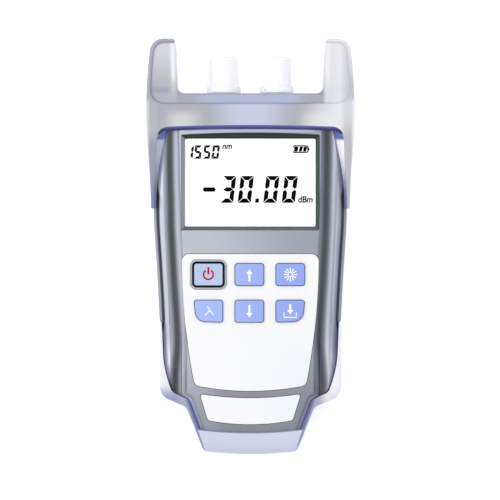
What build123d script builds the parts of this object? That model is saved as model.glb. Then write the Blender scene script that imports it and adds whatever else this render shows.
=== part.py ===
from build123d import *
import os

# Handheld optical power meter lying on its back.
# +Z points out of the display, +Y towards the horns and the optical ports, +X to the right.
# The origin is at the middle of the length and width, on the plane that the boot's back rests on.

# Battery door, mm
door_face = 0.9
door_thick = 1.8
door_side = 3.45
door_lap_top = 2.6
door_lap_bottom = 0.2
door_travel = 6.0
door_gap = 0.25
hook_length = 4.0
hook_web = 1.0
hook_lip = 2.0
hook_inset = 0.15
hook_top = 5.4
hook_lip_thick = 1.2
hook_end_space = 11.6
groove_pitch = 1.8

# Batteries, mm: three AA cells side by side set the size of the bay
cell_radius = 7.25
cell_length = 50.5
cell_gap = 0.2
cell_play = 0.6
cell_lift = 0.45
cell_axis = door_face + door_thick + cell_lift + cell_radius
spring_room = 4.9
spring_wire = 0.4
spring_coil = 2.9
spring_turns = 2.5
contact_half = 4.0
contact_thick = 0.5
bay_wall = 1.4
bay_floor = 3.8
bay_roof = cell_axis + cell_radius + cell_gap
bay_half = 3 * cell_radius + 2 * cell_gap
bay_top_y = -1.0
bay_bottom_y = bay_top_y - cell_length - spring_room - cell_play
door_half = bay_half + door_side
door_top_y = bay_top_y + door_lap_top
door_bottom_y = bay_bottom_y + door_lap_bottom
hook_out = bay_half - hook_inset

# Display, mm
display_y = 26.75
window_width = 54.9
window_height = 36.8
bevel = 1.75
bevel_lip = 0.3
bevel_arch = 0.9
window_corner = 0.7
lens_margin = 1.3
lens_thick = 1.2
glass_thick = 2.4
glass_margin = 0.7
glass_ledge = 3.0
tray_wall = 1.2
tray_gap = 0.2

# Heights of the stack over the cells, mm
board_gap = 1.15
board_thick = 1.6
board_under = bay_roof + bay_wall + board_gap
board_top = board_under + board_thick
stack_height = 8.6
case_face = board_top + stack_height
rim_height = 2.2
boot_height = case_face + rim_height

# Case, mm
case_wall = 2.0
case_fit = 0.1
top_room = 16.65
neck_below_bay = 7.5
tail_length = 20.6
side_room = 14.45
case_top_y = display_y + window_height / 2 + top_room
case_neck_y = bay_bottom_y - neck_below_bay
case_bottom_y = case_neck_y - tail_length
parting = 16.5
shoulder_round = 2.6
back_round = 1.6
hip_half = bay_half + side_room
waist_half = hip_half + 3.0
waist_y = 15.0
hip_y = case_neck_y + 20.5
shoulder_half = waist_half - 7.6
case_neck_half = door_half + 0.2
tail_half = 18.6
foot_rise = 1.2
rail_proud = 1.3

# Boot outline, mm
boot_wall = 1.8
foot_wall = 2.2
shelf_wall = 2.5
horn_width = 12.2
horn_draft = 1.0
hood_out = 4.2
grip_out = 2.2
lobe_out = 1.5
foot_out = 1.0
half_length = foot_wall - case_bottom_y
shelf_y = case_top_y + shelf_wall
hood_half = waist_half + hood_out
hood_wide_y = case_top_y - 3.8
horn_inner_x = hood_half - horn_width
horn_root_x = horn_inner_x - horn_draft
grip_half = waist_half + grip_out
lobe_half = hip_half + lobe_out
foot_half = tail_half + foot_out
side_blend = 40.0
boot_round = 2.0
boot_back_round = 2.6
beyond = 2 * hood_half

# Openings in the boot, mm
cutout_top_y = 16.0
cutout_bottom_y = -31.8
cutout_floor = 5.0
cutout_round = 3.0
hood_lip_y = case_top_y - 12.6
hood_lip_drop = 0.7
hood_lip_slope = 1.7
hood_corner = 5.0
hood_elbow_drop = 4.2
hood_rim = 4.4
hood_flare = 1.3
hood_step_height = case_face - 4.1
foot_lip_cover = 6.9
foot_lip_rise = 1.4
foot_lip_half = foot_half + 2.4
crease_y = shelf_y - 4.4
crease_edge = 1.7
crease_depth = 0.9
crease_round = 6.0
window_margin = 1.2

# Long flutes in the front face, mm
flute_radius = 5.0
flute_depth = 1.5
flute_top_x = waist_half - 6.2
flute_mid_x = waist_half - 6.7
flute_bend_x = waist_half - 8.3
flute_low_x = hip_half - 6.3
flute_mid_y = 22.0
flute_bend_y = -14.0

# Keypad, mm
key_pitch_x = 17.2
key_pitch_y = 15.4
key_centre_x = -0.4
key_top_row_y = -11.9
key_width = 12.2
key_length = 9.4
key_corner = 1.2
key_edge = 0.35
key_proud = 1.1
key_gap = 0.15
key_flange = 0.8
key_flange_thick = 1.0
key_travel = 0.8
key_stem_radius = 1.5
big_corner = 4.4
key_lean = 0.9
key_tilt = 0.35
ring_width = 1.7
ring_proud = 0.45
overlay_top_y = -3.3
overlay_half = 28.7
overlay_waist = 27.5
overlay_waist_y = -30.0
overlay_low_half = 23.4
overlay_sag = 2.4
overlay_bottom_y = case_neck_y + 3.7
overlay_thick = 0.5
overlay_proud = 0.15
film_gap = 0.25
plate_length = 11.0
plate_top_y = case_neck_y + 0.7
plate_bottom_y = plate_top_y - plate_length
plate_top_half = 21.2
plate_bottom_half = 17.8
plate_sag = 1.7

# Main board and what it carries, mm
board_half = 25.5
board_corner = 2.0
board_top_y = case_top_y - 9.8
board_bottom_y = bay_bottom_y - 2.5
post_radius = 2.2
post_hole = 0.85
post_x = board_half - 3.0
post_rows = (board_top_y - 2.6, display_y - window_height / 2 - 5.75, board_bottom_y + 3.1)
board_screw_radius = 0.8
board_screw_head = 1.7
board_screw_reach = 4.0
mat_thick = 1.2
mat_margin = 8.0
collar_height = 4.0
collar_radius = 3.6
dome_height = 0.5
dome_edge = 0.3
chip_row_y = bay_top_y + 8.0
side_chip_x = board_half - 9.0
can_width = 30.0
can_length = 18.0
can_height = 3.6
can_sheet = 0.3
can_low_y = board_top_y - 29.0
processor_side = 12.0
chip_length = 6.0
chip_width = 4.5
chip_height = 1.6
crystal_length = 9.0
crystal_height = 3.2

# Case screws, mm
screw_spots = ((shoulder_half - 3.8, case_top_y - 7.6), (hip_half - 7.3, case_neck_y + 8.5))
screw_radius = 1.25
screw_head_radius = 2.3
screw_seat = 7.0
screw_head_height = 2.0
screw_reach = 6.0
screw_slot = (2.8, 0.6, 1.6)
boss_radius = 2.7
boss_hole = 0.05
boss_wall = 0.6
head_gap = 0.15

# Optical ports, mm
port_x = 11.15
port_axis = 16.5
port_neck_radius = 4.4
port_neck_length = 12.2
port_flange_radius = 5.6
port_flange_thick = 1.4
port_barrel_radius = 4.9
port_barrel_length = 7.8
port_neck_end = case_top_y + port_neck_length
port_back_y = case_top_y - port_barrel_length
port_wall_length = 8.0
port_mouth_radius = 1.56
ferrule_radius = 1.26
sleeve_wall = 0.45
sleeve_gap = 0.02
sleeve_slit = 0.4
can_seat_radius = 2.8
can_seat_depth = 3.0
detector_radius = 2.35
lead_radius = 0.3
lead_pitch = 2.54
lead_back = 4.0
cap_radius = 6.3
cap_rim_radius = 7.3
cap_rim_thick = 2.9
cap_base_y = shelf_y + 0.6
cap_end = port_neck_end + 6.2
cap_rim_end = cap_base_y + cap_rim_thick
port_slot_half = 19.4
port_slot_height = 8.2


def plate(face, low, high):
    """Extrude a flat face between two heights."""
    return extrude(Pos(0, 0, low) * face, amount=high - low)


def mirrored(side, *across):
    """Make a face from a right-hand side, its mirror image and the curves that cross the centreline."""
    right = Curve() + side
    return make_face(right + mirror(right, Plane.YZ) + list(across))


def bow(half, middle_y, rise):
    """Arc across the centreline, lowest or highest in the middle, that ends at (+-half, middle_y + rise)."""
    return ThreePointArc((-half, middle_y + rise), (0, middle_y), (half, middle_y + rise))


def box_between(x0, x1, y0, y1, z0, z1):
    """A box given by its limits."""
    middle = Pos((x0 + x1) / 2, (y0 + y1) / 2, (z0 + z1) / 2)
    return middle * Box(x1 - x0, y1 - y0, z1 - z0)


def along_y(x, z, radius, y0, y1):
    """A round bar along Y between two stations."""
    return Pos(x, (y0 + y1) / 2, z) * Rot(90, 0, 0) * Cylinder(radius, y1 - y0)


def post(x, y, radius, z0, z1):
    """An upright round bar."""
    return Pos(x, y, (z0 + z1) / 2) * Cylinder(radius, z1 - z0)


def outline_corner(sketch, radius, x, y, reach=1.5):
    """Round the pair of corners that lie near (+-x, y)."""
    found = [v for v in sketch.vertices() if abs(abs(v.X) - x) < reach and abs(v.Y - y) < reach]
    return fillet(found, radius)


def case_outline():
    """Plan of the hard case: bowed sides, rounded lower corners and a tapered tail."""
    shoulder = (shoulder_half, case_top_y - 4.2)
    waist = (waist_half, waist_y)
    below = (waist_half - 0.35, waist_y - 10)
    hip = (hip_half, hip_y)
    corner = (hip_half - 3.9, case_neck_y + 3.3)
    neck = (case_neck_half, case_neck_y)
    tail = (tail_half, case_bottom_y + foot_rise)
    top_half = shoulder_half - 2.6
    rise = TangentArc([waist, shoulder], tangent=(0, 1))
    fall = TangentArc([waist, below], tangent=(0, -1))
    grip = TangentArc([below, hip], tangent=fall % 1)
    tuck = TangentArc([hip, corner], tangent=grip % 1)
    turn = Line(shoulder, (top_half, case_top_y))
    lower = Polyline(corner, neck, tail)
    top = Line((-top_half, case_top_y), (top_half, case_top_y))
    face = mirrored([rise, fall, grip, tuck, turn, lower], top, bow(tail_half, case_bottom_y, foot_rise))
    face = outline_corner(face, 2.6, top_half, case_top_y)
    face = outline_corner(face, 5.0, *shoulder)
    face = outline_corner(face, 3.4, *corner)
    face = outline_corner(face, 2.4, *neck)
    return outline_corner(face, 2.0, *tail)


def boot_outline():
    """Plan of the boot: foot, lobes, sides that swell to the hood, and the two horns."""
    foot_edge = (foot_half, -half_length + foot_rise)
    neck = (case_neck_half + 1.2, case_neck_y - 3.1)
    hip = (lobe_half, case_neck_y + 1.7)
    lobe = (lobe_half, cutout_bottom_y + 4)
    grip = (grip_half, cutout_top_y - 4)
    swell = (hood_half - 0.9, hood_wide_y - 20)
    widest = (hood_half, hood_wide_y)
    tip_out = (hood_half - 2.2, half_length)
    tip_in = (horn_inner_x, half_length)
    root = (horn_root_x, shelf_y)
    flare = TangentArc([widest, swell], tangent=(0, -1))
    rise = TangentArc([widest, tip_out], tangent=(0, 1))
    fall = TangentArc([swell, grip], tangent=flare % 1)
    lower = Polyline(foot_edge, neck, hip, lobe, grip)
    horn = Polyline(tip_out, tip_in, root)
    shelf = Line((-horn_root_x, shelf_y), root)
    face = mirrored([lower, horn, rise, flare, fall], shelf, bow(foot_half, -half_length, foot_rise))
    face = outline_corner(face, 2.4, *foot_edge)
    face = outline_corner(face, 3.4, *neck)
    face = outline_corner(face, 6.0, *hip)
    face = outline_corner(face, side_blend, *lobe)
    face = outline_corner(face, side_blend, *grip)
    face = outline_corner(face, 5.6, *tip_out)
    face = outline_corner(face, 1.6, *tip_in)
    return outline_corner(face, 3.2, *root)


case_face_plan = case_outline()
boot_plan = boot_outline()
boot_cavity_plan = offset(case_face_plan, amount=case_fit, kind=Kind.ARC)
case_inner_plan = offset(case_face_plan, amount=-case_wall, kind=Kind.ARC)
rail_plan = offset(case_face_plan, amount=rail_proud, kind=Kind.ARC)


def key_centre(column, row):
    """Centre of a key, columns -1 to 1 from the left and rows 0 and 1 from the top."""
    return key_centre_x + column * key_pitch_x, key_top_row_y - row * key_pitch_y


def key_face(column, row, grow=0.0):
    """Rounded plan of one key; the outer keys of the lower row lean in to one large corner."""
    x, y = key_centre(column, row)
    if row == 0 or column == 0:
        face = RectangleRounded(key_width + 2 * grow, key_length + 2 * grow, key_corner + grow)
        return Pos(x, y) * face
    half_w = key_width / 2
    half_l = key_length / 2
    swept = (column * (half_w - key_lean), key_tilt - half_l)
    upper = (column * half_w, half_l)
    inner_x = -column * half_w
    face = make_face(Polyline(swept, upper, (inner_x, half_l), (inner_x, -half_l), close=True))
    last = face.vertices().sort_by_distance(swept)[0]
    others = [v for v in face.vertices() if v != last]
    face = fillet(others, key_corner)
    face = fillet([face.vertices().sort_by_distance(swept)[0]], big_corner)
    if grow:
        face = offset(face, amount=grow, kind=Kind.ARC)
    return Pos(x, y) * face


key_names = {
    "key_power": (-1, 0),
    "key_up": (0, 0),
    "key_light": (1, 0),
    "key_wavelength": (-1, 1),
    "key_down": (0, 1),
    "key_save": (1, 1),
}


def overlay_face():
    """White keypad field: straight top, sides that draw in, bowed bottom edge."""
    top = Line((-overlay_half, overlay_top_y), (overlay_half, overlay_top_y))
    low = (overlay_low_half, overlay_bottom_y + overlay_sag)
    side = ThreePointArc((overlay_half, overlay_top_y), (overlay_waist, overlay_waist_y), low)
    face = mirrored([side], top, bow(overlay_low_half, overlay_bottom_y, overlay_sag))
    face = outline_corner(face, 3.0, overlay_half, overlay_top_y)
    return outline_corner(face, 3.0, *low)


def nameplate_face():
    """Lower white field, bowed top and bottom like the foot."""
    upper = (plate_top_half, plate_top_y + plate_sag)
    lower = (plate_bottom_half, plate_bottom_y + plate_sag)
    top = bow(plate_top_half, plate_top_y, plate_sag)
    bottom = bow(plate_bottom_half, plate_bottom_y, plate_sag)
    face = mirrored([Line(upper, lower)], top, bottom)
    face = outline_corner(face, 0.9, *upper)
    return outline_corner(face, 1.6, *lower)


overlay_plan = overlay_face()
nameplate_plan = nameplate_face()
overlay_seat = case_face + overlay_proud - overlay_thick


def flute(side):
    """Long round groove beside the display and the keypad."""
    start = (flute_top_x, case_top_y + flute_radius)
    bend = (flute_bend_x, flute_bend_y)
    upper = ThreePointArc(start, (flute_mid_x, flute_mid_y), bend)
    lower = TangentArc([bend, (flute_low_x, case_neck_y - 3.5)], tangent=upper % 1)
    path = Pos(0, 0, case_face + flute_radius - flute_depth) * (Curve() + [upper, lower])
    section = Plane(path @ 0, z_dir=path % 0) * Circle(flute_radius)
    bar = sweep(section, path=path)
    return bar if side > 0 else mirror(bar, Plane.YZ)


def display_recess():
    """Bevelled frame that runs down to the clear window, with an arched top edge."""
    low = case_face - case_wall + bevel_lip
    half_w = window_width / 2
    half_h = window_height / 2
    sections = []
    for height, grow, arch in ((low, 0.0, 0.02), (case_face + 0.01, bevel, bevel_arch)):
        w = half_w + grow
        h = half_h + grow
        ring = Polyline((w, h), (w, -h), (-w, -h), (-w, h))
        crown = ThreePointArc((-w, h), (0, h + arch), (w, h))
        frame = make_face(Curve() + [ring, crown])
        sections.append(Pos(0, display_y, height) * fillet(frame.vertices(), window_corner))
    through = plate(sections[0], -case_wall, case_wall)
    return loft(sections, ruled=True) + through


def port_seat(side):
    """Hole through the top wall for the barrel of an adapter, half in each shell."""
    radius = port_barrel_radius + case_fit
    return along_y(side * port_x, port_axis, radius, case_top_y - port_wall_length, case_top_y + 1)


def make_front_shell():
    outer = plate(case_face_plan, parting, case_face)
    outer = fillet(outer.faces().sort_by(Axis.Z)[-1].edges(), shoulder_round)
    shell = outer - plate(case_inner_plan, parting - 1, case_face - case_wall)
    ceiling = case_face - case_wall
    for side in (1, -1):
        shell -= flute(side)
        for x, y in screw_spots:
            boss = post(side * x, y, boss_radius, parting + case_fit, ceiling)
            shell += boss & plate(case_face_plan, 0, case_face)
        for y in post_rows:
            shell += post(side * post_x, y, post_radius, board_top, ceiling)
    for side in (1, -1):
        for x, y in screw_spots:
            shell -= post(side * x, y, screw_radius + boss_hole, parting - 1, parting + screw_reach + 1)
        for y in post_rows:
            shell -= post(side * post_x, y, post_hole, board_top - 1, board_top + board_screw_reach + 1)
        shell -= port_seat(side)
    shell -= display_recess()
    for film in (overlay_plan, nameplate_plan):
        seat = offset(film, amount=film_gap, kind=Kind.ARC)
        shell -= plate(seat, overlay_seat, case_face + 1)
    for column, row in key_names.values():
        shell -= plate(key_face(column, row, key_gap), parting, case_face + 1)
    return shell


def screw_tower(x, y):
    """Post of the rear shell that takes a case screw and its sunk head."""
    return post(x, y, boss_radius + boss_wall, bay_floor - 1, parting)


def hook_rows():
    """Stations of the three pairs of hooks along the door."""
    first = door_top_y - hook_end_space
    last = door_bottom_y + hook_end_space - 0.8
    return first, (first + last) / 2, last


def door_opening():
    """Seat of the battery door: shallow recess with a runway, opening and hook slots."""
    top = door_top_y + door_gap
    bottom = door_bottom_y - door_travel - door_gap
    side = door_half + door_gap
    slot_side = hook_out + 0.6
    lip_side = hook_out + hook_lip + 0.6
    slot_top = hook_top + 0.6
    cut = box_between(-side, side, bottom, top, 0, door_face + door_thick + door_gap)
    cut += box_between(-hook_out - 0.3, hook_out + 0.3, bay_bottom_y, bay_top_y, 0, bay_floor + 0.1)
    for y in hook_rows():
        low = y - door_travel - hook_length / 2 - door_gap
        entry = y - door_travel + hook_length / 2 + door_gap
        high = y + hook_length / 2 + door_gap
        cut += box_between(-slot_side, slot_side, low, high, 0, slot_top)
        cut += box_between(-lip_side, lip_side, low, entry, 0, slot_top)
        cut += box_between(-lip_side, lip_side, low, high, bay_floor, slot_top)
    return cut


def make_rear_shell():
    outer = plate(case_face_plan, boot_wall, parting)
    outer = fillet(outer.faces().sort_by(Axis.Z)[0].edges(), back_round)
    # Rails that stand in the boot's side cut-outs
    low = cutout_bottom_y + 0.2
    high = cutout_top_y - 0.2
    band = box_between(-beyond, beyond, low, high, cutout_floor + 0.2, parting)
    band = fillet(band.edges().filter_by(Axis.X).group_by(Axis.Z)[0], cutout_round)
    outer += plate(rail_plan, cutout_floor, parting) & band
    shell = outer - plate(case_inner_plan, bay_floor, parting + 1)
    # Battery bay: a box with its own walls and roof
    side = door_half + 0.35
    bay_low = bay_bottom_y - bay_wall
    bay_high = bay_top_y + bay_wall
    bay = box_between(-side, side, bay_low, bay_high, bay_floor - 1, bay_roof + bay_wall)
    shell += bay & (plate(case_inner_plan, 0, case_face) + plate(case_face_plan, 0, parting))
    for side in (1, -1):
        for x, y in screw_spots:
            shell += screw_tower(side * x, y) & plate(case_face_plan, 0, parting)
    inside = bay_half + cell_gap
    shell -= box_between(-inside, inside, bay_bottom_y, bay_top_y, bay_floor, bay_roof)
    shell -= door_opening()
    for side in (1, -1):
        for x, y in screw_spots:
            shell -= post(side * x, y, screw_radius + head_gap, 0, parting + 1)
            shell -= post(side * x, y, screw_head_radius + head_gap, 0, screw_seat)
        shell -= port_seat(side)
    return shell


def hood_lip(elbow, slope):
    """Edge of the hood over the case: a flat arch and a round corner that ends at the elbow."""
    half = elbow[0] - hood_corner
    end = (half, hood_lip_y - hood_lip_drop + slope)
    crown = bow(half, hood_lip_y + slope, -hood_lip_drop)
    return crown, TangentArc([end, elbow], tangent=(half, -2 * hood_lip_drop))


def make_boot():
    outer = plate(boot_plan, 0, boot_height)
    outer = fillet(outer.faces().sort_by(Axis.Z)[-1].edges(), boot_round)
    outer = fillet(outer.faces().sort_by(Axis.Z)[0].edges(), boot_back_round)
    # Recessed face of the horns and the bridge, inside a raised outer rim and open between the horns
    rim_end = half_length - crease_edge
    field = offset(boot_plan, amount=-crease_edge, kind=Kind.ARC)
    pocket = field & (Pos(0, (crease_y + rim_end) / 2) * Rectangle(beyond, rim_end - crease_y))
    pocket = outline_corner(pocket, crease_round, hood_half - crease_edge, crease_y)
    open_half = horn_inner_x + crease_edge + case_fit
    pocket += Pos(0, (crease_y + rim_end) / 2) * Rectangle(2 * open_half, rim_end - crease_y)
    boot = outer - plate(pocket, boot_height - crease_depth, boot_height + 1)
    # Room for the case, and the openings that show its face
    boot -= plate(boot_cavity_plan, boot_wall, case_face + case_fit)
    opening_half = hood_half - hood_rim
    elbow = (opening_half, hood_lip_y - hood_elbow_drop)
    jamb = opening_half + hood_flare
    side = Polyline(elbow, (jamb, cutout_top_y), (jamb, 0))
    crown, corner = hood_lip(elbow, 0.0)
    front = mirrored([corner, side], crown, Line((-jamb, 0), (jamb, 0)))
    boot -= plate(front, hood_step_height, boot_height + 1)
    sections = []
    for height, slope in ((boot_height - hood_lip_slope, 0.0), (boot_height + 0.01, hood_lip_slope)):
        crown, corner = hood_lip(elbow, slope)
        face = mirrored([corner], crown, Line((-elbow[0], elbow[1]), elbow))
        sections.append(Pos(0, 0, height) * face)
    boot -= loft(sections, ruled=True)
    sill = bow(foot_lip_half, case_bottom_y + foot_lip_cover, foot_lip_rise)
    sill_end = case_bottom_y + foot_lip_cover + foot_lip_rise
    reach = Polyline((foot_lip_half, sill_end), (beyond, sill_end + 4.6), (beyond, 0))
    lower = boot_cavity_plan & mirrored([reach], sill, Line((-beyond, 0), (beyond, 0)))
    boot -= plate(lower, case_face - 1, boot_height + 1)
    # Side cut-outs at the grip
    cut = box_between(-beyond, beyond, cutout_bottom_y, cutout_top_y, cutout_floor, boot_height + 1)
    boot -= fillet(cut.edges().filter_by(Axis.X).group_by(Axis.Z)[0], cutout_round)
    skirt = box_between(-beyond, beyond, cutout_bottom_y, cutout_top_y, -1, boot_height)
    boot -= skirt - plate(rail_plan, -2, boot_height + 1)
    # Slot for the ports and window for the battery door
    slot = Pos(0, shelf_y, port_axis) * Rot(90, 0, 0) * SlotOverall(2 * port_slot_half, 2 * port_slot_height)
    boot -= extrude(slot, amount=6, both=True)
    window_top = door_top_y + window_margin
    window_bottom = door_bottom_y - door_travel - window_margin
    window = Rectangle(2 * door_half + 1.6, window_top - window_bottom)
    window = Pos(0, (window_top + window_bottom) / 2) * fillet(window.vertices(), 2.0)
    return boot - extrude(window, amount=boot_wall + 1)


def make_display_window():
    width = window_width + 2 * lens_margin
    height = window_height + 2 * lens_margin
    top = case_face - case_wall
    return Pos(0, display_y, top - lens_thick / 2) * fillet(
        Box(width, height, lens_thick).edges().filter_by(Axis.Z), 1.5)


def make_display_panel():
    top = case_face - case_wall - lens_thick
    width = window_width + 2 * glass_margin
    half_thick = glass_thick / 2
    front_glass = Box(width, window_height + 1.0, half_thick)
    rear_glass = Box(width, window_height - glass_ledge, half_thick)
    glass = Pos(0, display_y, top - half_thick / 2) * front_glass
    return glass + Pos(0, display_y, top - 3 * half_thick / 2) * rear_glass


def make_display_tray():
    top = case_face - case_wall - lens_thick
    inner = window_width / 2 + glass_margin + tray_gap
    outer = inner + tray_wall
    half_length_y = window_height / 2 + glass_margin
    low = display_y - half_length_y
    high = display_y + half_length_y
    tray = box_between(-outer, outer, low, high, board_top, top)
    tray -= box_between(-inner, inner, low - 1, high + 1, top - glass_thick, top + 1)
    hollow = inner - 2.0
    return tray - box_between(-hollow, hollow, low + 3.0, high - 3.0, board_top - 1, board_top + 1.2)


def key_solid(name):
    column, row = key_names[name]
    x, y = key_centre(column, row)
    top = case_face + key_proud
    seat = case_face - case_wall
    cap = plate(key_face(column, row), seat - key_gap - key_flange_thick, top)
    cap = fillet(cap.faces().sort_by(Axis.Z)[-1].edges(), key_edge)
    flange = plate(key_face(column, row, key_flange), seat - key_gap - key_flange_thick, seat - key_gap)
    tip = board_top + dome_height + key_travel + 0.1
    return cap + flange + post(x, y, key_stem_radius, tip, seat - 0.5)


def make_surround():
    x, y = key_centre(-1, 0)
    ring = Pos(x, y) * RectangleRounded(
        key_width + 2 * ring_width, key_length + 2 * ring_width, key_corner + ring_width)
    ring -= key_face(-1, 0, key_gap)
    solid = plate(ring, case_face + overlay_proud, case_face + overlay_proud + ring_proud)
    rim = solid.faces().sort_by(Axis.Z)[-1].outer_wire().edges()
    return chamfer(rim, 0.25)


def make_overlay():
    field = overlay_plan
    for column, row in key_names.values():
        field -= key_face(column, row, key_gap)
    return plate(field, overlay_seat, case_face + overlay_proud)


def make_nameplate():
    return plate(nameplate_plan, overlay_seat, case_face + overlay_proud)


def make_keypad_mat():
    low = key_centre(0, 1)[1] - mat_margin
    high = key_centre(0, 0)[1] + mat_margin
    mat = box_between(-board_half + 1, board_half - 1, low, high, board_top, board_top + mat_thick)
    holes = []
    for column, row in key_names.values():
        x, y = key_centre(column, row)
        top = board_top + collar_height
        mat += post(x, y, collar_radius, board_top, top)
        holes.append(post(x, y, key_stem_radius + 0.8, board_top - 1, top + 1))
    for hole in holes:
        mat -= hole
    return mat


def make_main_board():
    sheet = RectangleRounded(2 * board_half, board_top_y - board_bottom_y, board_corner)
    board = plate(Pos(0, (board_top_y + board_bottom_y) / 2) * sheet, board_under, board_top)
    for side in (1, -1):
        for y in post_rows:
            board -= post(side * post_x, y, 1.1, board_under - 1, board_top + 1)
    return board


def make_key_switches():
    domes = []
    for column, row in key_names.values():
        x, y = key_centre(column, row)
        disc = Pos(x, y, board_top + dome_height / 2) * Cylinder(key_stem_radius + 0.5, dome_height)
        domes.append(chamfer(disc.edges().group_by(Axis.Z)[-1], dome_edge))
    return Compound(children=domes)


def chip(x, y, width, length, height):
    """A flat component under the board."""
    half_w = width / 2
    half_l = length / 2
    return box_between(x - half_w, x + half_w, y - half_l, y + half_l, board_under - height, board_under)


def make_board_chips():
    processor = chip(0, chip_row_y + 1.5, processor_side, processor_side, chip_height)
    memory = chip(-side_chip_x, chip_row_y, chip_width, chip_length, chip_height)
    amplifier = chip(side_chip_x, chip_row_y, chip_length, chip_width, chip_height)
    crystal_y = can_low_y - chip_length
    crystal = chip(side_chip_x - 2, crystal_y, crystal_length, crystal_height, crystal_height)
    return Compound(children=[processor, memory, amplifier, crystal])


def make_shield_can():
    half = can_width / 2
    low = can_low_y
    high = can_low_y + can_length
    can = box_between(-half, half, low, high, board_under - can_height, board_under)
    can = fillet(can.edges().filter_by(Axis.Z), 1.0)
    inner_half = half - can_sheet
    floor = board_under - can_height + can_sheet
    low += can_sheet
    high -= can_sheet
    return can - box_between(-inner_half, inner_half, low, high, floor, board_under + 1)


def make_adapter(side):
    """Metal adapter: barrel in the wall, flange outside it, neck that the cap covers, stepped bore."""
    x = side * port_x
    seat = port_back_y + can_seat_depth
    barrel = along_y(x, port_axis, port_barrel_radius, port_back_y, case_top_y)
    flange = along_y(x, port_axis, port_flange_radius, case_top_y + 0.02, case_top_y + port_flange_thick)
    neck = along_y(x, port_axis, port_neck_radius, case_top_y, port_neck_end)
    body = barrel + flange + chamfer(neck.edges().group_by(Axis.Y)[-1], 0.5)
    sleeve_room = ferrule_radius + sleeve_wall + sleeve_gap
    body -= along_y(x, port_axis, sleeve_room, seat + 1, port_neck_end - 0.8)
    body -= along_y(x, port_axis, port_mouth_radius, seat, port_neck_end + 1)
    return body - along_y(x, port_axis, can_seat_radius, port_back_y - 1, seat)


def make_sleeve(side):
    """Split ceramic sleeve that lines up the ferrule of the plug."""
    x = side * port_x
    start = port_back_y + can_seat_depth + 1.05
    end = port_neck_end - 0.85
    sleeve = along_y(x, port_axis, ferrule_radius + sleeve_wall, start, end)
    sleeve -= along_y(x, port_axis, ferrule_radius, start - 1, end + 1)
    slit = sleeve_slit / 2
    return sleeve - box_between(x - slit, x + slit, start - 1, end + 1, port_axis, port_axis + 3)


def make_detector(side):
    """Photodetector can behind the sleeve, with two leads bent down to the board."""
    x = side * port_x
    can = along_y(x, port_axis, detector_radius, port_back_y - 0.6, port_back_y + can_seat_depth - 0.05)
    body = can + along_y(x, port_axis, can_seat_radius - 0.1, port_back_y - 1.6, port_back_y - 0.55)
    back = port_back_y - lead_back
    for dx in (-lead_pitch / 2, lead_pitch / 2):
        body += along_y(x + dx, port_axis, lead_radius, back, port_back_y - 1.5)
        body += Pos(x + dx, back, port_axis) * Sphere(lead_radius)
        body += post(x + dx, back, lead_radius, port_axis, board_under)
    return body


def make_cap(side):
    """Push-on dust cap with a grip rim at its mouth."""
    x = side * port_x
    cap = along_y(x, port_axis, cap_radius, cap_base_y, cap_end)
    cap = fillet(cap.edges().group_by(Axis.Y)[-1], 1.2)
    rim = along_y(x, port_axis, cap_rim_radius, cap_base_y, cap_rim_end)
    cap += fillet(rim.edges().group_by(Axis.Y)[-1], 0.6)
    return cap - along_y(x, port_axis, port_neck_radius + 0.05, cap_base_y - 1, port_neck_end + 0.4)


def make_battery(column):
    """AA cell: a turned can with a stepped positive end; the middle one lies the other way round."""
    x = column * (2 * cell_radius + cell_gap)
    half = cell_length / 2
    shoulder = cell_radius - 0.6
    button = 2.7
    profile = Polyline(
        (0, -half), (shoulder, -half), (cell_radius, 0.6 - half), (cell_radius, half - 1.6),
        (shoulder, half - 1.0), (button, half - 1.0), (button, half), (0, half), close=True,
    )
    cell = revolve(make_face(profile), Axis.Y)
    if column == 0:
        return Pos(x, bay_bottom_y + cell_play + half, cell_axis) * Rot(180, 0, 0) * cell
    return Pos(x, bay_top_y - cell_play - half, cell_axis) * cell


def spring(column):
    """Coil spring between the end of a cell and the wall of the bay, wound from six-sided wire."""
    x = column * (2 * cell_radius + cell_gap)
    height = spring_room - 1.2
    coil = Helix(pitch=height / spring_turns, height=height, radius=spring_coil)
    section = Plane(coil @ 0, z_dir=coil % 0) * RegularPolygon(spring_wire, 6)
    wire = sweep(section, path=coil, is_frenet=True)
    foot = Pos(0, 0, -0.45) * Cylinder(spring_coil + spring_wire, 0.3)
    solid = wire + foot
    if column == 0:
        return Pos(x, bay_top_y - 0.62, cell_axis) * Rot(90, 0, 0) * solid
    return Pos(x, bay_bottom_y + 0.62, cell_axis) * Rot(-90, 0, 0) * solid


def contact_plate(column):
    """Flat contact at the positive end of a cell."""
    x = column * (2 * cell_radius + cell_gap)
    start = bay_bottom_y if column == 0 else bay_top_y - contact_thick
    low = cell_axis - contact_half
    high = cell_axis + contact_half
    return box_between(x - contact_half, x + contact_half, start, start + contact_thick, low, high)


def make_door():
    """Sliding cover with a stepped finger grip and three pairs of hooks."""
    plate_top = door_face + door_thick
    door = box_between(-door_half, door_half, door_bottom_y, door_top_y, door_face, plate_top)
    door = fillet(door.edges().filter_by(Axis.Z), 1.6)
    door = chamfer(door.faces().sort_by(Axis.Z)[0].edges(), 0.4)
    for step in range(6):
        y = door_top_y - 7 - step * groove_pitch
        half = 9 - step
        door -= box_between(-half, half, y - groove_pitch / 4, y + groove_pitch / 4, 0, door_face + 0.5)
    hooks = []
    for y in hook_rows():
        low = y - hook_length / 2
        high = y + hook_length / 2
        inner = hook_out - hook_web
        hooks.append(box_between(inner, hook_out, low, high, plate_top, hook_top))
        hooks.append(box_between(inner, hook_out + hook_lip, low, high, hook_top - hook_lip_thick, hook_top))
    for hook in hooks:
        door += hook
        door += mirror(hook, Plane.YZ)
    return door


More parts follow.
